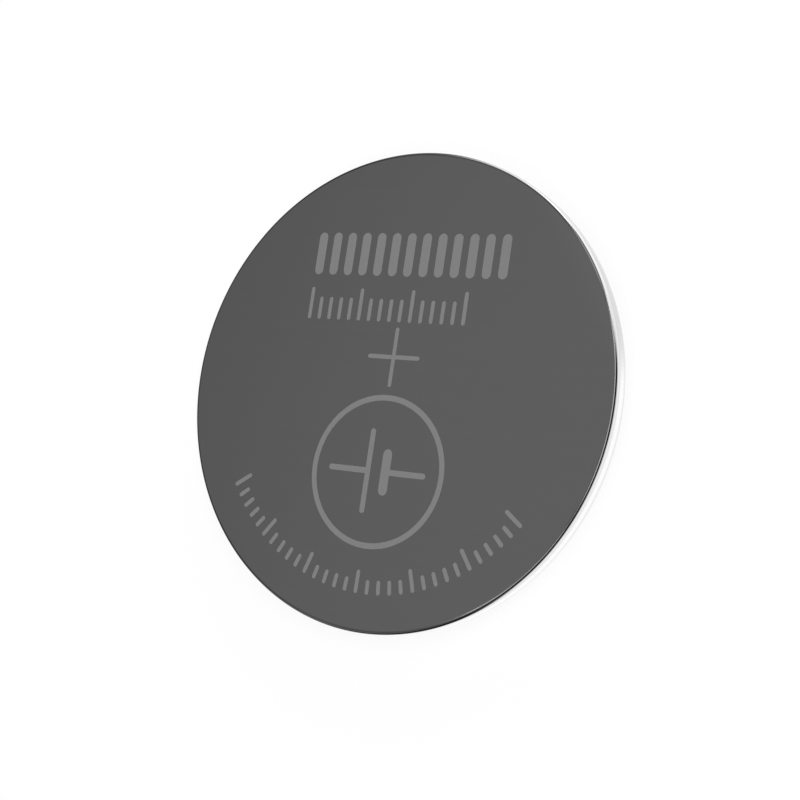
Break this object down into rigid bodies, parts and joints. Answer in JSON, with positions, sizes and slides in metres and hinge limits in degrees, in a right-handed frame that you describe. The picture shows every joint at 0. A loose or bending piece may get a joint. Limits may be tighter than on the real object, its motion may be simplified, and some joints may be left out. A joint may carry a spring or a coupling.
{
  "type": "lithium coin cell",
  "caption": "Flat round lithium coin cell: a crimped steel can and a stepped cap, sealed by a plastic gasket around stacked round electrodes.",
  "frame": {"origin": "centre of the negative contact face, on which the cell lies", "axes": "+Z along the cell's axis, from the negative contact to the positive face; +Y towards the top of the marks on the positive face"},
  "size_m": [0.02, 0.02, 0.0016],
  "materials": {
    "can_steel": "smooth rolled stainless steel with a soft mirror sheen",
    "cap_steel": "smooth pressed stainless steel",
    "gasket_plastic": "moulded natural polypropylene",
    "lithium": "soft silvery foil, rolled",
    "separator_fleece": "non-woven polypropylene fleece",
    "cathode_powder": "pressed black powder, dull",
    "collector_steel": "plain steel grid, satin"
  },
  "bodies": {
    "root": {"positive_can": "can_steel", "negative_cap": "cap_steel", "gasket": "gasket_plastic", "lithium_anode": "lithium", "separator": "separator_fleece", "cathode_pellet": "cathode_powder", "current_collector": "collector_steel"}
  },
  "joints": []
}
